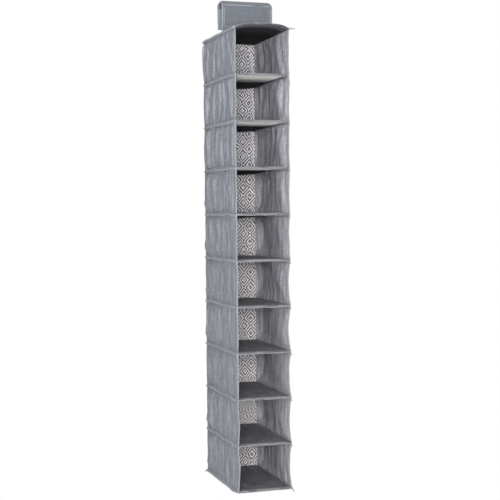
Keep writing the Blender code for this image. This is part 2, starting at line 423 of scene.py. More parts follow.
def sheet_shape(grid, thickness):
    """Points and faces of a cloth sheet: the grid (rows, columns, xyz) with thickness and closed rims."""
    normal = np.cross(np.gradient(grid, axis=0), np.gradient(grid, axis=1))
    normal /= np.linalg.norm(normal, axis=-1, keepdims=True)
    half = np.asarray(thickness, float) / 2
    half = half[..., None] if half.ndim else half
    rows, columns = grid.shape[:2]
    layer = rows * columns
    number = np.arange(layer).reshape(rows, columns)
    faces = grid_faces(rows, columns)
    faces += [[corner + layer for corner in face[::-1]] for face in faces]
    rim = np.concatenate([number[0], number[1:, -1], number[-1, -2::-1], number[-2:0:-1, 0]]).tolist()
    faces += [[a, b, b + layer, a + layer] for a, b in zip(rim, rim[1:] + rim[:1])]
    points = np.concatenate([grid + normal * half, grid - normal * half])
    return points.reshape(-1, 3), faces


def refined(grid):
    """Twice as many points both ways, on the smooth surface through the given ones."""
    for axis in (0, 1):
        grid = np.moveaxis(grid, axis, 0)
        wide = np.concatenate([2 * grid[:1] - grid[1:2], grid, 2 * grid[-1:] - grid[-2:-1]])
        finer = np.empty((2 * len(grid) - 1, *grid.shape[1:]))
        finer[::2] = grid
        finer[1::2] = (9 * (wide[1:-2] + wide[2:-1]) - wide[:-3] - wide[3:]) / 16
        grid = np.moveaxis(finer, 0, axis)
    return grid


def sweep_shape(profile, path, across, up):
    """A closed profile of (across, up) points carried along a path, with capped ends. The size of each
    section and its two directions may change along the path."""
    profile = np.asarray(profile, float)
    sections, corners = len(path), len(profile)
    across, up = (np.broadcast_to(np.asarray(way, float), (sections, 3)) for way in (across, up))
    points = np.asarray(path, float)[:, None, :] + profile[None, :, :1] * across[:, None, :]
    points = points + profile[None, :, 1:] * up[:, None, :]
    number = np.arange(sections * corners).reshape(sections, corners).tolist()
    faces = []
    for a, b in zip(number, number[1:]):
        faces += [[a[i - 1], a[i], b[i], b[i - 1]] for i in range(corners)]
    return points.reshape(-1, 3), [*faces, number[0], number[-1][::-1]]


def joined(shapes):
    """Several shapes' points and faces as one."""
    points, faces, count = [], [], 0
    for some_points, some_faces in shapes:
        points.append(some_points)
        faces += [[n + count for n in face] for face in some_faces]
        count += len(some_points)
    return np.concatenate(points), faces


def stitch_shapes(route, outward, lift=0.0002, seed=0, bold=1.0):
    """A row of stitches lying on a route of points. outward is the surface's direction there. bold is
    how thick the thread is."""
    route = np.asarray(route, float)
    steps = np.linalg.norm(np.diff(route, axis=0), axis=1)
    walked = np.concatenate([[0], np.cumsum(steps)])
    rng = np.random.default_rng(seed)
    count = max(1, int((walked[-1] - STITCH) // STITCH_PITCH))
    starts = (walked[-1] - count * STITCH_PITCH) / 2 + np.arange(count) * STITCH_PITCH
    starts += rng.uniform(-0.0003, 0.0003, count)
    outward = np.broadcast_to(np.asarray(outward, float), route.shape)
    shapes = []
    for start in starts:
        ends = [[np.interp(start + s, walked, route[:, i]) for i in range(3)] for s in (0, STITCH)]
        out = np.array([np.interp(start, walked, outward[:, i]) for i in range(3)])
        a, b = (np.array(end) + out * lift for end in ends)
        run = (b - a) / np.linalg.norm(b - a)
        side = np.cross(run, out)
        shapes.append(stitch_shape(a, b, bold * side / np.linalg.norm(side), out * bold))
    return joined(shapes)


def stitch_shape(a, b, side, out):
    """One stitch: a thread from a to b that dips into the cloth at both ends."""
    width, height = 0.00042, 0.00034
    ring = [(1, 0), (0, 1), (-1, 0), (0, -1)]
    points = [a - out * height]
    for share in (0.22, 0.78):
        centre = a + (b - a) * share
        points += [centre + side * width * s + out * height * o for s, o in ring]
    points.append(b - out * height)
    faces = []
    for i in range(4):
        j = (i + 1) % 4
        faces += [[0, 1 + i, 1 + j], [1 + i, 5 + i, 5 + j, 1 + j], [5 + i, 9, 5 + j]]
    return np.array(points), faces


# ---------------------------------------------------------------- cloth that settles to its cut size


def settle_pairs(points, weight, first, second, length, stiffness):
    """Moves each pair of points towards the length of fabric between them."""
    a, b = points[first], points[second]
    span = b - a
    now = np.linalg.norm(span, axis=-1, keepdims=True)
    share = np.maximum(weight[first] + weight[second], 1e-9)
    push = stiffness * span * (1 - length[..., None] / np.maximum(now, 1e-9)) / share
    points[first] += weight[first] * push
    points[second] -= weight[second] * push


def settle(points, along, up, free, steps, bending=0.03):
    """Relaxes sheets (sheet, row, column, xyz), held where free is 0, until the fabric between
    neighbouring points has its cut length. The spare length turns into wrinkles."""
    slant = np.sqrt(along[:, :, :-1] ** 2 + up[:, :-1, :] ** 2)
    weight = free[..., None]
    whole, lower, upper = slice(None), slice(None, -1), slice(1, None)
    for _ in range(steps):
        for odd in (0, 1):
            rows, next_rows = slice(odd, -1, 2), slice(odd + 1, None, 2)
            for first, second, length, stiffness in (
                ((whole, rows), (whole, next_rows), along[:, odd::2], 0.9),
                ((whole, whole, rows), (whole, whole, next_rows), up[:, :, odd::2], 0.9),
                ((whole, rows, lower), (whole, next_rows, upper), slant[:, odd::2], 0.15),
                ((whole, rows, upper), (whole, next_rows, lower), slant[:, odd::2], 0.15),
            ):
                settle_pairs(points, weight, first, second, length, stiffness)
        inner = points[:, 1:-1, 1:-1]
        around = points[:, :-2, 1:-1] + points[:, 2:, 1:-1] + points[:, 1:-1, :-2] + points[:, 1:-1, 2:]
        inner += weight[:, 1:-1, 1:-1] * bending * (around / 4 - inner)


def free_inside(shape):
    """How free a sheet's points are to move: 1 inside, and 0 along its four sewn edges."""
    free = np.zeros(shape)
    free[1:-1, 1:-1] = 1
    return free


def draw_in(side, cell):
    """How far a side's front edge draws in between two levels."""
    return BOW + (LOW_BOW if side > 0 else LOW_BOW / 3) * float(ramp(cell, 3.5, 6.5))


def front_edge(side, cell, z):
    """(x, y) of a side wall's front edge at height z, before its binding."""
    high, low = SPANS[cell - 1]
    down = (high - z) / (high - low)
    arch = np.sin(math.pi * np.clip(down, 0, 1))
    seed = 300 + cell * 3 + (side > 0)
    sway = 0.0008 * wave_noise(seed, z, 0, 0.08) * arch
    x = side * (HALF_WIDTH - 0.0006 - draw_in(side, cell) * arch**0.8 + sway)
    return x, FRONT + 0.0010 + 0.0012 * arch


def rear_edge(side, cell, z):
    """(x, y) of a compartment's rear corner at height z. The top compartment's swells out."""
    high, low = SPANS[cell - 1]
    down = (high - z) / (high - low)
    arch = np.sin(math.pi * np.clip(down, 0, 1) ** 0.8)
    swell = BULGE * (0.75 ** ((cell - 1) * 3) + 0.12) * arch
    sway = 0.0005 * wave_noise(350 + cell * 5 + side, z, 0, 0.07) * arch
    return side * (HALF_WIDTH - 0.0010 + 0.75 * swell + sway), BACK - 0.0012 + swell


def ridge_folds(seed, y, down, cell, folds, depth):
    """Creases that hang from the seam above, steep towards the front and gentle towards the back. They
    fan out in the top compartment."""
    rng = np.random.default_rng(seed)
    fan = 0.17 if cell == 1 else 0.035
    total = np.zeros(np.broadcast(y, down).shape)
    for number in range(folds):
        share = (number + rng.uniform(0.15, 0.85)) / folds
        start = FRONT + (BACK - FRONT) * share
        lean = fan * (share - 0.5) + rng.uniform(-0.022, 0.022)
        front_side, rear_side = rng.uniform(0.005, 0.008), rng.uniform(0.016, 0.026)
        reach = rng.uniform(0.8, 1.5)
        height = depth * rng.uniform(0.6, 1.25)
        if cell >= 4:
            height *= 0.12 + 0.6 * math.exp(-(((share - 0.7) / 0.12) ** 2))
        line = start + lean * down + 0.0018 * np.sin(down * rng.uniform(2, 4) + rng.uniform(0, 6))
        ahead = line - y
        width = np.where(ahead > 0, front_side, rear_side)
        fade = ramp(down, 0.0, 0.12) * (1 - ramp(down, reach * 0.65, reach))
        total += height * fade * np.exp(-((ahead / width) ** 2))
    return total


def wall_start(side, cell):
    """A wall's points (row along Y, column down Z, xyz), the fabric's length between them both ways,
    where it is free to move, and how far its set creases stand out. Upper walls have more spare fabric;
    lower ones are flatter, with one long crease near the back."""
    high, low = SPANS[cell - 1]
    height = high - low
    share, z = lattice(np.linspace(0, 1, WALL_GRID[0]), np.linspace(high, low, WALL_GRID[1]))
    down = (high - z) / height
    front_x, front_y = front_edge(side, cell, z)
    rear_x, rear_y = rear_edge(side, cell, z)
    y = front_y + (rear_y - front_y) * share
    seed = 40 + cell * 7 + (101 if side > 0 else 0)
    upper = 1 - float(ramp(cell, 2, 8.5))
    arch = np.sin(math.pi * down)
    hollow = (0.0016 + 0.0010 * wave_noise(seed, y, z, 0.12)) * arch * np.sin(math.pi * share)
    line = BACK - 0.041 + 0.019 * ramp(down, 0.4, 1.0)
    crease = 1 - np.abs(y - line) / np.where(y > line, BACK - line, 0.250)
    middle = ramp(down, 0, 0.25) * ramp(1 - down, 0, 0.25)
    relief = CREASE * float(ramp(cell, 1.5, 4)) * np.clip(crease, 0, 1) * middle
    if side > 0:
        belly = FRONT + 0.042 + 0.062 * (1 - down)
        hollow += (0.0050 * upper + 0.0015) * np.exp(-(((y - belly) / 0.034) ** 2)) * ramp(down, 0.05, 0.5)
    relief += ridge_folds(seed + 1, y, down, cell, int(5 + 2 * upper), 0.0032 + 0.0008 * upper)
    folds = 0.0012 * wave_noise(seed + 2, y, z * 0.35, 0.034)
    edge = ramp(down, 0, 0.08) * ramp(1 - down, 0, 0.08) * ramp(share, 0, 0.03) * ramp(1 - share, 0, 0.03)
    x = front_x + (rear_x - front_x) * share + side * (folds * edge - hollow * ramp(share, 0, 0.12))
    points = points_at(x, y, z)
    spare = 1 + (0.006 + 0.015 * upper) * (1.15 - 0.5 * down)
    along = np.diff(y, axis=0) * (spare[1:] + spare[:-1]) / 2
    up = np.abs(np.diff(z, axis=1)) * 1.004
    return points, along, up, free_inside(y.shape), side * relief * edge


def settled_walls():
    """Every side wall's settled points, by (side, cell)."""
    keys = [(side, cell) for side in SIDES for cell in range(1, CELLS + 1)]
    points, *fabric, relief = (np.array(values) for values in zip(*(wall_start(*key) for key in keys)))
    settle(points, *fabric, WALL_STEPS)
    points[..., 0] += relief
    return dict(zip(keys, points))


# ---------------------------------------------------------------- the column


def seam_flare(z, high, low):
    """The wall's fabric turns out into the pinched seam above and below it."""
    reach = 0.006
    return 0.0013 * (np.exp(-(high - z) / reach) + np.exp(-(z - low) / reach))


def seam_puckers(seed, y, z, high, low):
    """Small gathers that the stitching draws into the fabric beside each seam."""
    reach = 0.0065
    near = np.exp(-(high - z) / reach) + np.exp(-(z - low) / reach)
    return 0.00045 * wave_noise(seed, y, z * 0.15, 0.0095, count=9) * near


def fold_away(piece):
    """Gives the piece a mesh of its own."""
    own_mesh(piece)


def wall_piece(kind, side, cell, shape, finish="binding", reverse=None):
    return add_piece(
        f"{SIDES[side]}_{kind}_{cell}", *shape, finish, BODIES[cell - 1], "wall_fabric", reverse
    )


def add_walls():
    for (side, cell), grid in settled_walls().items():
        high, low = SPANS[cell - 1]
        grid = refined(grid)
        y, z = grid[..., 1], grid[..., 2]
        seed = 1500 + cell * 2 + (side > 0)
        grid[..., 0] += side * (seam_flare(z, high, low) + seam_puckers(seed, y, z, high, low))
        if cell == 1:
            grid[..., 2] += 0.0006 * ramp(grid[..., 2], high - 0.01, high)
        layer = (grid.shape[0] - 1) * (grid.shape[1] - 1)
        # The inner faces take the paler finish, which is painted light on the compartment walls.
        inner = slice(0, layer) if side > 0 else slice(layer, 2 * layer)
        shape = sheet_shape(grid, CLOTH)
        wall = wall_piece("wall_cloth", side, cell, shape, "wall", ("inside", inner))
        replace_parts(wall, f"{SIDES[side]}_wall_{cell}")
        adders = [add_binding, add_corner_seam, add_binding_stitches]
        if cell <= INNER_SEAM_CELLS:
            adders.append(add_inner_seam)
        pieces = [add(side, cell) for add in adders]
        for piece in [wall, *pieces]:
            fold_away(piece)


def binding_line(side, cell, count):
    """Mid-line of the tape folded over a wall's front edge."""
    z = np.linspace(*SPANS[cell - 1], count)
    x, y = front_edge(side, cell, z)
    return points_at(x, y + HEM / 2 - 0.0010, z)


def rounded_profile(width, height, corner, steps=4):
    """A rounded rectangle about its centre, as (across, up) points."""
    points = []
    for quarter in range(4):
        centre_x = (width / 2 - corner) * (1 if quarter in (0, 3) else -1)
        centre_y = (height / 2 - corner) * (1 if quarter in (0, 1) else -1)
        for step in range(steps + 1):
            angle = math.pi / 2 * quarter + math.pi / 2 * step / steps
            points.append((centre_x + corner * math.cos(angle), centre_y + corner * math.sin(angle)))
    return points


def add_binding(side, cell):
    line = binding_line(side, cell, 33)
    swell = 1 + 0.10 * wave_noise(1300 + cell + 30 * side, line[:, 2], 0, 0.02)
    profile = rounded_profile(0.0027, HEM, 0.0012)
    shape = sweep_shape(profile, line, np.outer(swell, (1, 0, 0)), (0, 1, 0))
    return wall_piece("binding", side, cell, shape)


def add_binding_stitches(side, cell):
    line = binding_line(side, cell, 60) + [0, HEM / 2 - 0.0017, 0]
    rows = [stitch_shapes(line + [way * 0.00135, 0, 0], (way, 0, 0), seed=cell) for way in (-1, 1)]
    return wall_piece("binding_stitches", side, cell, joined(rows), "dull_thread")


def add_corner_seam(side, cell):
    """The allowance that stands out behind where a side wall meets the back."""
    z = np.linspace(*SPANS[cell - 1], 25)
    x, y = rear_edge(side, cell, z)
    sway = 0.0004 * wave_noise(500 + cell + side, z, 0, 0.04)
    path = points_at(x - side * 0.0002, y + 0.0022 + sway, z)
    profile = rounded_profile(0.0022, 0.0054, 0.0009)
    return wall_piece("corner_seam", side, cell, sweep_shape(profile, path, (1, 0, 0), (0, 1, 0)))


def add_inner_seam(side, cell):
    """In the upper compartments the same seam's allowance also shows inside, drawn in at its top."""
    high, low = SPANS[cell - 1][0] - 0.004, SPANS[cell - 1][1] + 0.004
    z = np.linspace(high, low, 25)
    x, y = rear_edge(side, cell, z)
    drawn = (0.0125 if cell == 1 else 0.0050) * ((z - low) / (high - low)) ** 1.4
    path = points_at(x - side * (0.0036 + drawn), y - 0.0030 - 0.1 * drawn, z)
    shape = sweep_shape(rounded_profile(0.0030, 0.0014, 0.0006), path, (1, 0, 0), (0, 1, 0))
    return wall_piece("inner_seam", side, cell, shape, "allowance")


def back_start(cell):
    """A back panel's points (row along X, column down Z, xyz), fabric lengths, and freedom."""
    high, low = SPANS[cell - 1]
    share, z = lattice(np.linspace(0, 1, BACK_GRID[0]), np.linspace(high, low, BACK_GRID[1]))
    left_x, left_y = rear_edge(-1, cell, z)
    right_x, right_y = rear_edge(1, cell, z)
    x = left_x + 0.0004 + (right_x - left_x - 0.0008) * share
    y = left_y + (right_y - left_y) * share
    down = (high - z) / (high - low)
    edge = np.sin(math.pi * down) ** 0.5 * np.sin(math.pi * share) ** 0.5
    y = y + 0.0014 * edge * (wave_noise(700 + cell, x, z * 0.5, 0.05) + 0.3)
    along = np.diff(x, axis=0) * 1.012
    up = np.abs(np.diff(z, axis=1)) * 1.006
    return points_at(x, y, z), along, up, free_inside(x.shape)


def add_backs():
    cells = range(1, CELLS + 1)
    points, *fabric = (np.array(values) for values in zip(*(back_start(cell) for cell in cells)))
    settle(points, *fabric, BACK_STEPS)
    for cell, grid in zip(cells, points):
        high, low = SPANS[cell - 1]
        if cell == 1:
            raised = dome(grid * [1, 1, 0] + [0, 0, PANEL_TOP])[..., 2] - PANEL_TOP
            grid[..., 2] += raised * ramp(grid[..., 2], low, high)
        shape = sheet_shape(refined(grid), CLOTH)
        back = add_piece(f"back_cloth_{cell}", *shape, "back", BODIES[cell - 1], "patterned_fabric")
        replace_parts(back, f"back_panel_{cell}")
        fold_away(back)


def dome(points):
    """The top panel's middle is drawn up by the strap, and its sides are drawn down by the walls."""
    points = np.array(points, float)
    x, z = points[..., 0], points[..., 2]
    reach = np.clip(np.abs(x) / HALF_WIDTH, 0, 1)
    fall = np.where(x < 0, reach**DOME_LEFT, reach**DOME_RIGHT)
    rise = DOME * (1 - REAR_FLAT * ramp(points[..., 1], -0.06, BACK))
    points[..., 2] += rise * (1 - fall) * (1 - ramp(z, PANEL_TOP + 0.004, PANEL_TOP + 0.060))
    return points


def level_bend(level):
    """What bends a level's pieces: only the top panel is drawn up."""
    return dome if level == 0 else (lambda points: np.array(points, float))


def level_piece(kind, level, shape, finish, slot="wall_fabric", reverse=None):
    return add_piece(f"{LEVELS[level]}_{kind}", *shape, finish, BODIES[level], slot, reverse)


def lip_lift(y, full):
    """Half the thickness of a level at y: its front lip is thinner than the part with the board."""
    return LIP + (full - LIP) * ramp(y, FRONT + 0.0025, FRONT + 0.0085)


def nose_route(full, start, end, under_points):
    """(y, z) from under a level's front, round its lip, and back over it. z is from the middle."""
    under = [(y, -lip_lift(y, full)) for y in np.linspace(start, FRONT + 0.002, under_points)]
    turns = -math.pi / 2 - math.pi * np.linspace(0, 1, LIP_POINTS)
    lip = [(FRONT + LIP + LIP * math.cos(turn), LIP * math.sin(turn)) for turn in turns]
    over = [(y, lip_lift(y, full)) for y in np.linspace(FRONT + 0.002, end, 52)]
    return np.array(under + lip + over)


def cover_route(level, closed):
    """(y, z) points of a cover's cloth, from under its front hem, round its front and back over it."""
    full = LEVEL / 2 - CLOTH / 2 + 0.0002
    start = BACK - 0.004 if closed else FRONT + HEM + 0.003
    route = nose_route(full, start, BACK - 0.002, 48 if closed else 8)
    return np.vstack([route, (SEAM_BACK - 0.004, full - 0.0006)]) + [0, MIDS[level]]


def add_cover(level):
    name = LEVELS[level]
    closed = level in (0, CELLS)
    route = cover_route(level, closed)
    across = np.linspace(-HALF_WIDTH, HALF_WIDTH, 34)
    y, x = lattice(route[:, 0], across)
    z = np.repeat(route[:, 1:], len(across), axis=1)
    way = np.where(z > MIDS[level], 1.0, 0.35 if closed else 0.0)
    sides = 1 - (np.abs(x) / HALF_WIDTH) ** 6
    pucker = 0.0005 * wave_noise(810 + level, x * 0.6, y, 0.03) + 0.0004
    z = z + way * pucker * sides * ramp(y, FRONT, FRONT + 0.02)
    shape = sheet_shape(level_bend(level)(points_at(x, y, z)), CLOTH)
    cover = level_piece("sheet", level, shape, "shelf", "shelf_fabric")
    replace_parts(cover, f"{name}_cover")
    pieces = [*add_seams(level), add_hem_tape(level), add_cover_stitches(level)]
    if not closed:
        pieces.append(add_side_returns(level))
    if level == 0:
        # Painted shade: the top panel's underside darkens towards the rear, a dark front part and then a
        # near-black rear part.
        add_top_lining("front", FRONT + HEM - 0.0015, FRONT + TOP_HEM + 0.003, 0.0008, "lining")
        add_top_lining("rear", FRONT + TOP_HEM, BACK - 0.002, 0.0038, "pocket")
    elif not closed:
        add_pocket(level)


def add_hem_tape(level):
    """Tape folded over a level's front edge. The top panel's tape keeps its pale colour along its upper
    edge only; its lower side is painted shade.
    """
    route = nose_route(LEVEL / 2 + 0.0004, FRONT + HEM, FRONT + HEM, HEM_POINTS)
    route = route[: HEM_POINTS + LIP_POINTS]
    route = np.vstack([route, route[:HEM_POINTS][::-1] * [1, -1]])
    middle = FRONT + HEM / 2
    route = (route - [middle, 0]) * [1.10, 1.0] + [middle, 0]
    route[:, 1] += np.sign(route[:, 1]) * 0.0003
    y, x = lattice(route[:, 0], np.linspace(-HALF_WIDTH + 0.0006, HALF_WIDTH - 0.0006, HEM_COLUMNS))
    z = np.repeat(route[:, 1:], HEM_COLUMNS, axis=1) + MIDS[level]
    z = z + 0.00035 * wave_noise(870 + level, x, 0, 0.05)
    y = y + 0.0004 * wave_noise(880 + level, x, 0, 0.06)
    shape = sheet_shape(level_bend(level)(points_at(x, y, z)), 0.0007)
    if level:
        return level_piece("hem_tape", level, shape, "hem")
    # The top panel's tape gets the dark underside finish on its lower side as painted shade, and its own
    # pale colour above.
    row = (np.arange(2 * x.size) % x.size // HEM_COLUMNS).tolist()
    first = HEM_POINTS + LIP_POINTS // 2 + 2
    upper = [n for n, face in enumerate(shape[1]) if min(row[number] for number in face) >= first]
    return level_piece("hem_tape", level, shape, "lining", reverse=("hem", upper))


def add_side_returns(level):
    """The cover's seam allowance lies under the board along both sides."""
    z = MIDS[level] - LEVEL / 2 + CLOTH / 2 - 0.0001
    inner = BOARDS[level][1].x - 0.0016
    strips = []
    for side in SIDES:
        rows = np.linspace(FRONT + HEM - 0.001, BACK - POCKET + 0.004, 30)
        y, x = lattice(rows, np.linspace(side * inner, side * (HALF_WIDTH - 0.0008), 6))
        edge = 0.0005 * wave_noise(930 + level + side, y, 0, 0.03)
        strips.append(sheet_shape(points_at(x + edge * (np.abs(x) < inner + 0.002), y, z), CLOTH * 0.8))
    return level_piece("side_returns", level, joined(strips), "shelf", "shelf_fabric")


def add_top_lining(word, start, end, sag, finish):
    """Under the top panel, painted shade in two steps: a dark front part and a near-black rear part that
    hangs a little.
    """
    low = MIDS[0] - LEVEL / 2
    half = HALF_WIDTH - 0.0016
    y, x = lattice(np.linspace(start, end, 44), np.linspace(-half, half, 40))
    along = (y - start) / (end - start)
    middle = np.clip(1 - (x / half) ** 2, 0, 1) ** 0.55
    hang = sag * np.sin(math.pi * along) + 0.0005 * wave_noise(905, x, y * 0.5, 0.03) * ramp(along, 0, 0.2)
    step = 0.0006 if finish == "lining" else 0.0016
    grid = dome(points_at(x, y, low - step - hang * middle * (1 - ramp(along, 0.9, 1.0))))
    lining = level_piece(f"{word}_lining", 0, sheet_shape(grid, 0.0007), finish, "shelf_fabric")


def add_pocket(level):
    """The pocket that holds the board's rear part hangs loosely below it. Its near-black colour is partly
    its dark fabric's own and partly painted shade.
    """
    low = MIDS[level] - LEVEL / 2
    half = HALF_WIDTH - 0.0016
    rows = np.linspace(BACK - POCKET, BACK - 0.002, 40)
    y, x = lattice(rows, np.linspace(-half, half, 36))
    along = (y - rows[0]) / POCKET
    middle = np.clip(1 - (x / half) ** 2, 0, 1) ** 0.55
    hang = (0.16 + 0.84 * np.sin(math.pi * np.clip(along * 0.86, 0, 1) ** 1.15)) * middle
    hang = hang * (1 - ramp(along, 0.93, 1.0))
    creases = 0.0005 * wave_noise(900 + level, x, y * 0.4, 0.028) * middle * ramp(along, 0, 0.2)
    z = low + CLOTH / 2 - 0.0001 - POCKET_SAG * hang + creases * (1 - ramp(along, 0.9, 1.0))
    shape = sheet_shape(points_at(x, y, z), CLOTH * 0.8)
    pocket = level_piece("pocket", level, shape, "pocket", "shelf_fabric")
    edge = points_at(x[0], y[0], z[0])
    shape = sweep_shape(rounded_profile(0.0034, 0.0014, 0.0006), edge, (0, 1, 0), (0, 0, 1))
    hem = level_piece("pocket_hem", level, shape, "pocket", "shelf_fabric")
    for piece in (pocket, hem):
        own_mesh(piece)


# Outline of a pinched seam, as (outwards, up) points: its outer edge is thin and droops
FIN = [(0, -0.0034), (0.0018, -0.0034), (0.0042, -0.0028), (0.0058, -0.0017), (0.0064, 0.0)]
FIN += [(across, -up) for across, up in FIN[-2::-1]]
FIN = [(across, up - 0.20 * across) for across, up in FIN]


def add_seams(level):
    """The pinched seams: one along each side wall and one along the back."""
    bend = level_bend(level)
    pieces = []
    for side, word in SIDES.items():
        y = np.linspace(FRONT + 0.0055, BACK + 0.0016, 100)
        seed = 1000 + level * 5 + side
        rise = 0.0009 * wave_noise(seed, y, 0, 0.075)
        swell = 1 + 0.12 * wave_noise(seed + 2, y, 0, 0.022)
        start = ramp(y, FRONT + 0.002, FRONT + 0.034) if level else np.ones_like(y)
        out = (0.30 + 0.70 * start) * (1 - 0.45 * ramp(y, BACK - 0.012, SEAM_BACK)) * swell
        path = points_at(side * (HALF_WIDTH - 0.0006), y, MIDS[level] + rise)
        across, up = np.outer(out * side, (1, 0, 0)), np.outer(0.75 + 0.25 * start, (0, 0, 1))
        pieces.append(level_piece(f"{word}_seam", level, sweep_shape(FIN, bend(path), across, up), "seam"))
        line = (path + across * 0.0026)[12:]
        rows = [
            stitch_shapes(bend(line + [0, 0, way * 0.0031]), (side * 0.3, 0, way), seed=level)
            for way in (-1, 1)
        ]
        pieces.append(level_piece(f"{word}_seam_stitches", level, joined(rows), "dull_thread"))
    x = np.linspace(-HALF_WIDTH, HALF_WIDTH, 60)
    rise = 0.0005 * wave_noise(1200 + level, x, 0, 0.03)
    path = points_at(x, BACK - 0.0006, MIDS[level] + rise)
    shape = sweep_shape(FIN, bend(path), (0, 1, 0), (0, 0, 1))
    return [*pieces, level_piece("back_seam", level, shape, "seam")]


def add_cover_stitches(level):
    """Rows of stitches along the front hem, above and below."""
    x = np.linspace(-HALF_WIDTH + 0.004, HALF_WIDTH - 0.004, 60)
    y = FRONT + HEM - 0.0012
    rows = []
    for way in (-1, 1):
        z = MIDS[level] + way * (float(lip_lift(y, LEVEL / 2 + 0.0004)) + 0.0010)
        rows.append(stitch_shapes(level_bend(level)(points_at(x, y, z)), (0, 0, way), seed=level))
    return level_piece("hem_stitches", level, joined(rows), "dull_thread", "shelf_fabric")


def add_boards():
    """The boards are the CAD's own, except that the top one follows the panel's rise."""
    for name in LEVELS[1:]:
        node = frame["nodes"][f"{name}_board"]
        node.data.materials.clear()
        node.data.materials.append(FINISH["board"])
        edge = node.modifiers.new("worn_edge", "BEVEL")
        edge.width = 0.0004
        edge.segments = 2
    low, high = BOARDS[0]
    y, x = lattice(np.linspace(low.y, high.y, 12), np.linspace(low.x, high.x, 30))
    shape = sheet_shape(dome(points_at(x, y, (low.z + high.z) / 2)), high.z - low.z)
    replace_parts(level_piece("bowed_board", 0, shape, "board", "greyboard"), "top_panel_board")


def add_tail(name, body, start, way, length, droop=0.0018):
    """The loose end of a pinched seam, which narrows and droops."""
    way = np.array(way) / np.linalg.norm(way)
    share = np.linspace(0, 1, 9)[:, None]
    path = np.array(start) + way * length * share - np.array([0, 0, droop]) * share**2
    flat = np.cross(way, (0, 1, 0.3))
    flat = flat / np.linalg.norm(flat)
    narrow = 1 - 0.45 * share**1.5
    profile = rounded_profile(0.0074, TAIL_THICKNESS, TAIL_THICKNESS * 0.45)
    shape = sweep_shape(profile, path, np.cross(flat, way) * narrow, flat * narrow)
    add_piece(name, *shape, "seam", body, "wall_fabric")


def add_tails():
    """Loose seam ends: long ones at the outer corners, short drooping ones at each level's front."""
    rng = np.random.default_rng(77)
    front, top, bottom = FRONT + 0.003, MIDS[0], MIDS[-1]
    right, left = HALF_WIDTH + 0.001, -HALF_WIDTH - 0.001
    add_tail("top_right_tail", "hanger", (right - 0.004, front, top + 0.001), (1, -0.2, 0.02), 0.021)
    add_tail("top_left_tail", "hanger", (left, BACK, top), (-0.35, 0.8, -0.2), 0.008)
    add_tail("top_front_tail", "hanger", (left + 0.003, front, top), (-0.9, -0.2, 0.5), 0.006)
    add_tail("bottom_right_tail", "bottom_panel", (right, front, bottom), (0.55, -0.2, -0.75), 0.010)
    add_tail("bottom_left_tail", "bottom_panel", (left, BACK, bottom), (-0.7, 0.4, -0.45), 0.008)
    for level in range(1, CELLS):
        for side, word in SIDES.items():
            start = (side * (HALF_WIDTH - 0.0012), front, MIDS[level] + 0.0012)
            way = (side * rng.uniform(0.10, 0.24), rng.uniform(-0.10, 0.05), -0.9)
            length = (0.75 if side < 0 else 1.0) * rng.uniform(0.0095, 0.0120)
            add_tail(f"{LEVELS[level]}_{word}_tail", BODIES[level], start, way, length, 0.001)


# ---------------------------------------------------------------- the strap

BAND_LOW, BAND_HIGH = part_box("strap_band")
FLAP_LOW, FLAP_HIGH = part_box("strap_flap")
TAB_LOW, TAB_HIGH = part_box("strap_tab")
PATCH_LOW, PATCH_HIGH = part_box("strap_patch")
HOOK_LOW, HOOK_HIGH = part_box("hook_tape")
LOOP_LOW, LOOP_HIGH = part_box("loop_tape")
STRAP_HALF = BAND_HIGH.x
STRAP = FLAP_HIGH.y - FLAP_LOW.y
LEG = (FLAP_LOW.y + FLAP_HIGH.y) / 2
CROWN_BASE = FLAP_HIGH.z
CROWN_RISE = BAND_HIGH.z - STRAP / 2 - CROWN_BASE
CROWN_SQUARENESS = 3.0  # 2 is an ellipse
STRAP_CORNER_LEFT, STRAP_CORNER_RIGHT = 0.006, 0.011  # radii of the loop's upper corners
TOP_STITCHES = 0.0130  # from the crown down to the row of stitches across the front leg
SOLE = PATCH_HIGH.z + STRAP / 2 + 0.0003  # height of the strap's sewn feet


def strap_piece(name, shape, finish="thread", body="hanger", slot="strap_fabric", reverse=None):
    return add_piece(name, *shape, finish, body, slot, reverse)


def leg_route(foot, leg, top, steps):
    """(y, z) of strap fabric from its foot, sewn down flat, up a leg that stands at y = leg."""
    way = math.copysign(1, foot - leg)
    route = [(y, SOLE) for y in np.linspace(foot, leg + way * 0.0018, 6)]
    route += [(leg + way * 0.0006, SOLE + 0.0004)]
    return np.array(route + [(leg, z) for z in np.linspace(SOLE + 0.002, top, steps)])


def squared(value):
    """A turn's sine or cosine, moved out onto the squarer loop."""
    return np.sign(value) * np.abs(value) ** (2 / CROWN_SQUARENESS)


def crown_route(first, last, count):
    """(y, z) of the loop between two turns, where 0 is the front leg's top and pi the flap's fold."""
    turns = np.linspace(first, last, count)
    return points_at(-LEG * squared(np.cos(turns)), CROWN_BASE + CROWN_RISE * squared(np.sin(turns)))


def strap_grid(route, half, seed, columns=60):
    """A strip of strap fabric along a route of (y, z), with rounded upper corners."""
    spread = np.linspace(-1, 1, columns)
    y, x = lattice(route[:, 0], half * np.sign(spread) * np.abs(spread) ** 0.8)
    z = np.repeat(route[:, 1:], columns, axis=1)
    radius = np.where(x < 0, STRAP_CORNER_LEFT, STRAP_CORNER_RIGHT)
    inside = np.clip(radius - (half - np.abs(x)), 0, None)
    drop = radius - np.sqrt(np.maximum(radius**2 - inside**2, 0))
    above = np.clip((z - CROWN_BASE) / CROWN_RISE, 0, None)
    z = z - drop * above
    wave = 0.0009 * wave_noise(seed, x, z * 0.6, 0.07) * (1 - np.clip(above, 0, 1))
    return points_at(x, y + wave, z)


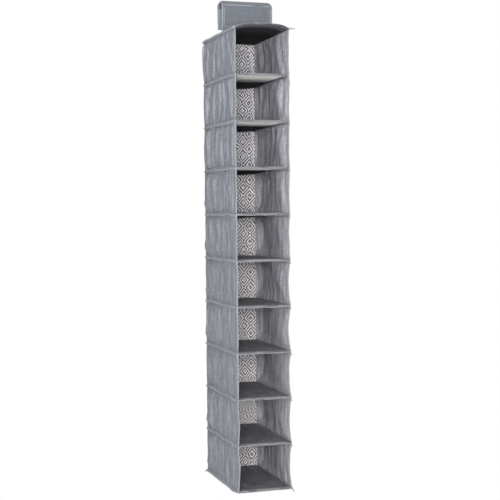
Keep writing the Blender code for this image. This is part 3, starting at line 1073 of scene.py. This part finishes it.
def hemmed(half, grid, hem=0.0075, base=0.0012, extra=0.0009):
    """Thickness of strap fabric that is folded in along both edges."""
    inside = half - np.abs(grid[..., 0])
    return base + extra * (1 - ramp(inside, hem - 0.0012, hem))


def add_strap():
    route = leg_route(BAND_LOW.y + 0.0008, -LEG, CROWN_BASE, 34)
    route = np.vstack([route, crown_route(0, math.pi, 26)[1:]])
    grid = dome(strap_grid(route, STRAP_HALF, 60))
    band = strap_piece("strap_band_cloth", sheet_shape(grid, hemmed(STRAP_HALF, grid)), "strap")
    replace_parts(band, "strap_band")
    pieces = [add_band_stitches(), *add_edgings(route)]
    add_patch()
    add_tab()
    add_flap()


def add_edgings(route):
    """Rolled edges along both sides of the band, made paler as a painted highlight."""
    pieces = []
    for side, word in SIDES.items():
        radius = STRAP_CORNER_LEFT if side < 0 else STRAP_CORNER_RIGHT
        above = np.clip((route[:, 1] - CROWN_BASE) / CROWN_RISE, 0, None)
        path = points_at(side * (STRAP_HALF - 0.0008), *route.T)
        path[:, 2] -= radius * 0.72 * above
        path[:, 0] -= side * 0.0010 * above**3
        along = np.gradient(path, axis=0)
        along /= np.linalg.norm(along, axis=1, keepdims=True)
        profile = rounded_profile(0.0042, 0.0030, 0.0014)
        shape = sweep_shape(profile, dome(path), (1, 0, 0), np.cross(along, (1, 0, 0)))
        pieces.append(strap_piece(f"strap_{word}_edging", shape, "edging"))
    return pieces


def cross_row(z, y, half, out, seed, bend=dome, bold=1.0):
    """A row of stitches from side to side."""
    x = np.linspace(-half + 0.004, half - 0.004, 60)
    return stitch_shapes(bend(points_at(x, y, z)), out, seed=seed, bold=bold)


def upright_row(x, y, low, high, out, seed, bend=dome):
    return stitch_shapes(bend(points_at(x, y, np.linspace(low, high, 40))), out, seed=seed)


def add_band_stitches():
    front, out = -LEG - 0.0013, (0, -1, 0)
    high = CROWN_BASE + CROWN_RISE - TOP_STITCHES
    rows = [cross_row(high, front + 0.0010, STRAP_HALF, (0, -1, 0.3), 1, bold=1.7)]
    rows.append(cross_row(SOLE + 0.010, front + 0.0004, STRAP_HALF, out, 2))
    for side in SIDES:
        rows.append(upright_row(side * (STRAP_HALF - 0.0055), front, SOLE + 0.012, CROWN_BASE, out, 3))
    rows.append(cross_row(SOLE + STRAP / 2 + 0.0001, -LEG - 0.0055, STRAP_HALF, (0, 0, 1), 4))
    return strap_piece("strap_band_stitches", joined(rows))


def add_patch():
    low, high = PATCH_LOW, PATCH_HIGH
    y, x = lattice(np.linspace(low.y, high.y, 24), np.linspace(low.x, high.x, 48))
    grid = dome(points_at(x, y, (low.z + high.z) / 2 + 0.0004))
    shape = sheet_shape(grid, hemmed(high.x, grid, 0.006, 0.0009, 0.0004))
    patch = strap_piece("strap_patch_cloth", shape, "strap")
    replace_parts(patch, "strap_patch")
    z = high.z + 0.0004
    lines = [cross_row(z, side * (high.y - 0.003), high.x, (0, 0, 1), 8) for side in SIDES]
    for side in SIDES:
        run = np.linspace(low.y + 0.004, high.y - 0.004, 20)
        line = points_at(side * (high.x - 0.003), run, z)
        lines.append(stitch_shapes(dome(line), (0, 0, 1), seed=9))
    stitches = strap_piece("strap_patch_stitches", joined(lines))


def tape_shape(low, high, pile, out, seed):
    """A tape whose outer face carries a fine pile."""
    x, z = lattice(np.linspace(low.x, high.x, 90), np.linspace(low.z, high.z, 22))
    y = (low.y + high.y) / 2 + out * np.random.default_rng(seed).uniform(0, pile, x.shape)
    return sheet_shape(points_at(x, y, z), (high.y - low.y) * 0.7)


def add_tab():
    mid, half = (TAB_LOW.y + TAB_LOW.y + STRAP) / 2, TAB_HIGH.x
    route = leg_route(TAB_HIGH.y - 0.0008, mid, TAB_HIGH.z, 22)
    y, x = lattice(route[:, 0], np.linspace(-half, half, 40))
    grid = dome(points_at(x, y, route[:, 1:]))
    tab = strap_piece("strap_tab_cloth", sheet_shape(grid, hemmed(half, grid, extra=0.0003)), "strap")
    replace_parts(tab, "strap_tab")
    points, faces = tape_shape(HOOK_LOW, HOOK_HIGH, 0.0004, 1, 11)
    hook = strap_piece("hook_tape_pile", (dome(points), faces), "hook", slot="hook_tape")
    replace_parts(hook, "hook_tape")
    rows = [cross_row(TAB_HIGH.z - 0.004, mid + s * 0.0009, half, (0, s, 0), 12) for s in (-1, 1)]
    pieces = [hook, strap_piece("strap_tab_stitches", joined(rows))]


def add_flap():
    """The closing flap continues the crown down behind."""
    grid = strap_grid(points_at(LEG, np.linspace(CROWN_BASE, FLAP_LOW.z, 34)), STRAP_HALF, 61)
    grid[..., 1] += 0.0004
    drop = CROWN_BASE - grid[..., 2]
    grid[..., 0] *= 1 - 0.012 * ramp(drop, 0.03, 0.06)
    hem = 1 - ramp(grid[..., 2] - FLAP_LOW.z, 0.011, 0.013)
    shape = sheet_shape(grid, np.maximum(hemmed(STRAP_HALF, grid), 0.0012 + 0.0008 * hem))
    # The flap's inner face takes the paler strap finish as painted light where the band shades it.
    inner_faces = slice(0, (grid.shape[0] - 1) * (grid.shape[1] - 1))
    flap = strap_piece("strap_flap_cloth", shape, "strap", None, reverse=("edging", inner_faces))
    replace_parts(flap, "strap_flap")
    outer, inner = LEG + 0.0015, LEG - 0.0008
    rows = []
    for row, height in enumerate((0.003, 0.0105)):
        z = FLAP_LOW.z + height
        rows.append(cross_row(z, outer, STRAP_HALF, (0, 1, 0), 20 + row, np.array))
        rows.append(cross_row(z, inner, STRAP_HALF, (0, -1, 0), 22 + row, np.array))
    for side in SIDES:
        x, low, high = side * (STRAP_HALF - 0.0062), FLAP_LOW.z + 0.013, CROWN_BASE - 0.012
        rows.append(upright_row(x, outer, low, high, (0, 1, 0), 24, np.array))
    stitches = strap_piece("strap_flap_stitches", joined(rows), body="closing_flap")
    shape = tape_shape(LOOP_LOW, LOOP_HIGH, 0.0003, -1, 12)
    loop = strap_piece("loop_tape_pile", shape, "loop", "closing_flap", "loop_tape")
    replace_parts(loop, "loop_tape")
    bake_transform(flap)


# ---------------------------------------------------------------- camera, light and floor

# The camera stands in front of the organizer, to its left and a little below its middle.
CAMERA_FROM_TOP_PANEL = (-1.018, -3.149, -0.496)
CAMERA_YAW = math.radians(18.08)  # to the right of +Y
CAMERA_PITCH = math.radians(-1.98)
CAMERA_ROLL = math.radians(-0.48)
CAMERA_LENS = 83.25


def place_in_scene(name, data, at, aim):
    thing = bpy.data.objects.new(name, data)
    thing.location = at
    thing.rotation_mode = "QUATERNION"
    thing.rotation_quaternion = aim
    bpy.context.scene.collection.objects.link(thing)
    return thing


def add_camera():
    data = bpy.data.cameras.new("camera")
    data.sensor_width = 36
    data.lens = CAMERA_LENS
    data.clip_end = 60
    reach = math.cos(CAMERA_PITCH)
    forward = (math.sin(CAMERA_YAW) * reach, math.cos(CAMERA_YAW) * reach, math.sin(CAMERA_PITCH))
    aim = Vector(forward).to_track_quat("-Z", "Y").to_matrix().to_4x4()
    aim = (aim @ Matrix.Rotation(CAMERA_ROLL, 4, "Z")).to_quaternion()
    at = Vector(CAMERA_FROM_TOP_PANEL) + Vector((0, 0, MIDS[0]))
    bpy.context.scene.camera = place_in_scene("camera", data, at, aim)


def add_area_light(name, at, target_height, size, power):
    data = bpy.data.lights.new(name, "AREA")
    data.shape = "SQUARE"
    data.size = size
    data.energy = power
    aim = (Vector((0, 0, target_height)) - Vector(at)).to_track_quat("-Z", "Y")
    place_in_scene(name, data, at, aim)


def add_world():
    """A white studio: the camera sees plain white, and the room lights softly from every side."""
    world = bpy.data.worlds.new("studio")
    bpy.context.scene.world = world
    world.use_nodes = True
    nodes, links = world.node_tree.nodes, world.node_tree.links
    room = nodes["Background"]
    room.inputs["Color"].default_value = (0.97, 0.98, 1.0, 1)
    room.inputs["Strength"].default_value = ROOM_LIGHT
    seen = nodes.new("ShaderNodeBackground")
    seen.inputs["Color"].default_value = (1, 1, 1, 1)
    seen.inputs["Strength"].default_value = 1.0
    path = nodes.new("ShaderNodeLightPath")
    mix = nodes.new("ShaderNodeMixShader")
    links.new(path.outputs["Is Camera Ray"], mix.inputs["Fac"])
    links.new(room.outputs["Background"], mix.inputs[1])
    links.new(seen.outputs["Background"], mix.inputs[2])
    links.new(mix.outputs["Shader"], nodes["World Output"].inputs["Surface"])


def add_floor():
    """A pale round floor, well below the hanging organizer."""
    corners = 96
    turns = [math.tau * corner / corners for corner in range(corners)]
    z = cad_box[0].z - FLOOR_DROP
    mesh = bpy.data.meshes.new("floor")
    ring = [(FLOOR_RADIUS * math.cos(turn), FLOOR_RADIUS * math.sin(turn), z) for turn in turns]
    mesh.from_pydata(ring, [], [list(range(corners))])
    floor = bpy.data.objects.new("floor", mesh)
    bpy.context.scene.collection.objects.link(floor)
    shader = Shader("pale_floor", 0.95)
    tone = shader.between(shader.noise(0.6, detail=2), 0.3, 0.7, (0.90, 0.90, 0.90), (0.93, 0.93, 0.93))
    mesh.materials.append(shader.finish(tone))


def main():
    bpy.context.scene.view_settings.view_transform = "Standard"
    add_camera()
    add_world()
    add_floor()
    add_area_light("left", (-2.9, -2.1, 0.30), -0.5, 0.9, 32)
    add_area_light("front_left", (-1.7, -4.1, -0.2), -0.6, 0.8, 100)
    add_area_light("front", (-0.55, -4.2, -0.6), -0.6, 0.9, 95)
    add_area_light("low", (-0.7, -2.2, -2.5), -0.4, 0.9, 62)
    add_area_light("top", (-1.4, -0.6, 2.4), -0.4, 1.0, 36)
    add_area_light("right", (3.4, -0.3, 0.1), -0.6, 1.2, 38)
    add_area_light("back", (0.8, 3.6, 0.2), -0.6, 1.2, 50)
    for level in range(CELLS + 1):
        add_cover(level)
    add_boards()
    add_walls()
    add_backs()
    add_tails()
    add_strap()


main()
